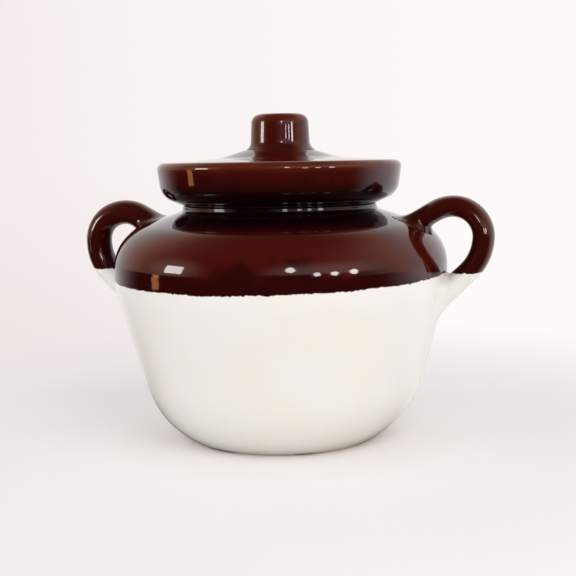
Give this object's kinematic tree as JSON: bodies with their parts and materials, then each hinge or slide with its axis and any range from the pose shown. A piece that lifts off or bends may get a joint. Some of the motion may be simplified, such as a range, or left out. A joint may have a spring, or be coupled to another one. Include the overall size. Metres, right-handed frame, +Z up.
{
  "type": "lidded bean pot",
  "caption": "Squat stoneware pot with rounded shoulders, two looped side handles and a loose lift-off lid with a round knob, glazed brown over cream.",
  "frame": {"origin": "centre of the base, on the surface that the foot ring stands on", "axes": "+Z up along the pot's turning axis, +X through the right-hand handle and -X through the left-hand one"},
  "size_m": [0.2297, 0.178, 0.1736],
  "materials": {
    "dipped_glaze": "gloss cream glaze, with the top third dipped in gloss dark brown",
    "brown_glaze": "gloss dark brown glaze"
  },
  "bodies": {
    "pot": {"pot_body": "dipped_glaze", "handle_right": "dipped_glaze", "handle_left": "dipped_glaze"},
    "lid": {"lid": "brown_glaze", "lid_knob": "brown_glaze"}
  },
  "joints": [
    {"name": "lid_lift", "type": "slide", "parent": "pot", "child": "lid", "axis": [0, 0, 1], "range_m": [0, 0.12]}
  ]
}
